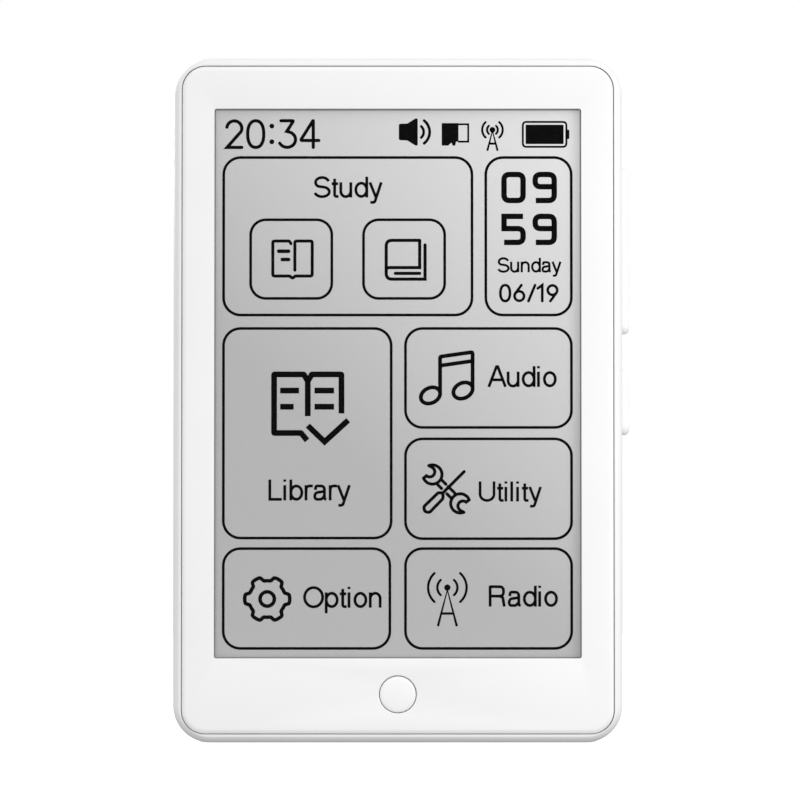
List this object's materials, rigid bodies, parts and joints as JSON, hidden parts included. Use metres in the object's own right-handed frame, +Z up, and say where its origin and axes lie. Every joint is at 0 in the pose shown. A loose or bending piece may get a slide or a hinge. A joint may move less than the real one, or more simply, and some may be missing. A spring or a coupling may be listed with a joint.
{
  "type": "pocket e-reader",
  "caption": "Slim pocket e-reader standing on its bottom edge: framed paper display, round home button, volume rocker and power key on the right side.",
  "frame": {"origin": "middle of the flat bottom edge, half-way through the thickness", "axes": "+X to the right seen from the front, toward the side keys; +Y from the screen to the back; +Z up along the body"},
  "size_m": [0.0617, 0.0089, 0.0926],
  "materials": {
    "panel_white": "glossy",
    "shell_white": "satin gloss",
    "key_white": "glossy",
    "gasket_black": "matte",
    "foam_grey": "matte foam",
    "tape_black": "matte",
    "tape_white": "matte",
    "touch_clear": "clear, satin",
    "paper_display": "matte electronic paper",
    "chip_black": "matte",
    "flex_amber": "satin film",
    "plate_metal": "brushed",
    "steel_small": "plain",
    "steel_bright": "bright",
    "stem_black": "matte",
    "board_green": "solder mask",
    "parts_tan": "plain",
    "plug_cream": "matte",
    "contact_gold": "plated",
    "card_black": "matte",
    "cell_silver": "foil pouch",
    "lead_red": "insulation",
    "lead_grey": "insulation",
    "cone_grey": "film",
    "mesh_black": "woven"
  },
  "bodies": {
    "reader": {"front_panel": "panel_white", "panel_tape": "tape_black", "frame": "shell_white", "back_cover": "shell_white", "display_gasket": "gasket_black", "touch_film": "touch_clear", "display_glass": "paper_display", "display_driver": "chip_black", "display_flex": "flex_amber", "display_foam": "foam_grey", "chassis": "plate_metal", "chassis_screws": "steel_small", "home_switch": "steel_small", "key_switches": "steel_small", "key_board": "board_green", "key_bracket": "steel_small", "key_flex": "flex_amber", "main_board": "board_green", "board_screws": "steel_small", "processor": "chip_black", "memory_chip": "chip_black", "power_chip": "chip_black", "crystal": "steel_bright", "chip_parts": "parts_tan", "shield_can": "steel_bright", "display_connector": "plug_cream", "key_connector": "plug_cream", "usb_shell": "steel_bright", "usb_tongue": "stem_black", "headphone_jack": "stem_black", "jack_contacts": "contact_gold", "card_socket": "steel_bright", "battery_cell": "cell_silver", "battery_board": "board_green", "battery_leads": "lead_red", "battery_plug": "plug_cream", "battery_tape": "tape_white", "speaker_frame": "stem_black", "speaker_cone": "cone_grey", "speaker_magnet": "steel_bright", "speaker_gasket": "gasket_black", "speaker_mesh": "mesh_black", "speaker_leads": "lead_grey", "speaker_plug": "plug_cream", "antenna": "flex_amber", "antenna_cable": "lead_grey", "antenna_plug": "contact_gold"},
    "home_key": {"home_button": "key_white"},
    "home_plunger": {"home_stem": "stem_black"},
    "power_key": {"power_button": "key_white"},
    "power_plunger": {"power_stem": "stem_black"},
    "rocker": {"volume_rocker": "key_white"},
    "upper_plunger": {"volume_stem_upper": "stem_black"},
    "lower_plunger": {"volume_stem_lower": "stem_black"},
    "card": {"memory_card": "card_black"}
  },
  "joints": [
    {"name": "home_press", "type": "slide", "parent": "reader", "child": "home_key", "axis": [0, 1, 0], "range_m": [0, 0.00025], "stiffness_N_per_m": 1200},
    {"name": "home_stem_travel", "type": "slide", "parent": "reader", "child": "home_plunger", "axis": [0, 1, 0], "range_m": [0, 0.00025]},
    {"name": "power_press", "type": "slide", "parent": "reader", "child": "power_key", "axis": [-1, 0, 0], "range_m": [0, 0.00025], "stiffness_N_per_m": 1200},
    {"name": "power_stem_travel", "type": "slide", "parent": "reader", "child": "power_plunger", "axis": [-1, 0, 0], "range_m": [0, 0.00025]},
    {"name": "volume_tilt", "type": "hinge", "parent": "reader", "child": "rocker", "pos_m": [0.02705, 0, 0.0666], "axis": [0, 1, 0], "range_deg": [-1.3, 1.3], "stiffness_Nm_per_rad": 0.12},
    {"name": "upper_stem_travel", "type": "slide", "parent": "reader", "child": "upper_plunger", "axis": [-1, 0, 0], "range_m": [-0.00019, 0.00019]},
    {"name": "lower_stem_travel", "type": "slide", "parent": "reader", "child": "lower_plunger", "axis": [-1, 0, 0], "range_m": [-0.00019, 0.00019]},
    {"name": "card_slide", "type": "slide", "parent": "reader", "child": "card", "axis": [-1, 0, 0], "range_m": [0, 0.012]}
  ],
  "couplings": [
    {"joint": "home_stem_travel", "follows": "home_press", "ratio": 1},
    {"joint": "power_stem_travel", "follows": "power_press", "ratio": 1},
    {"joint": "upper_stem_travel", "follows": "volume_tilt", "m_per_rad": -0.008},
    {"joint": "lower_stem_travel", "follows": "volume_tilt", "m_per_rad": 0.008}
  ]
}
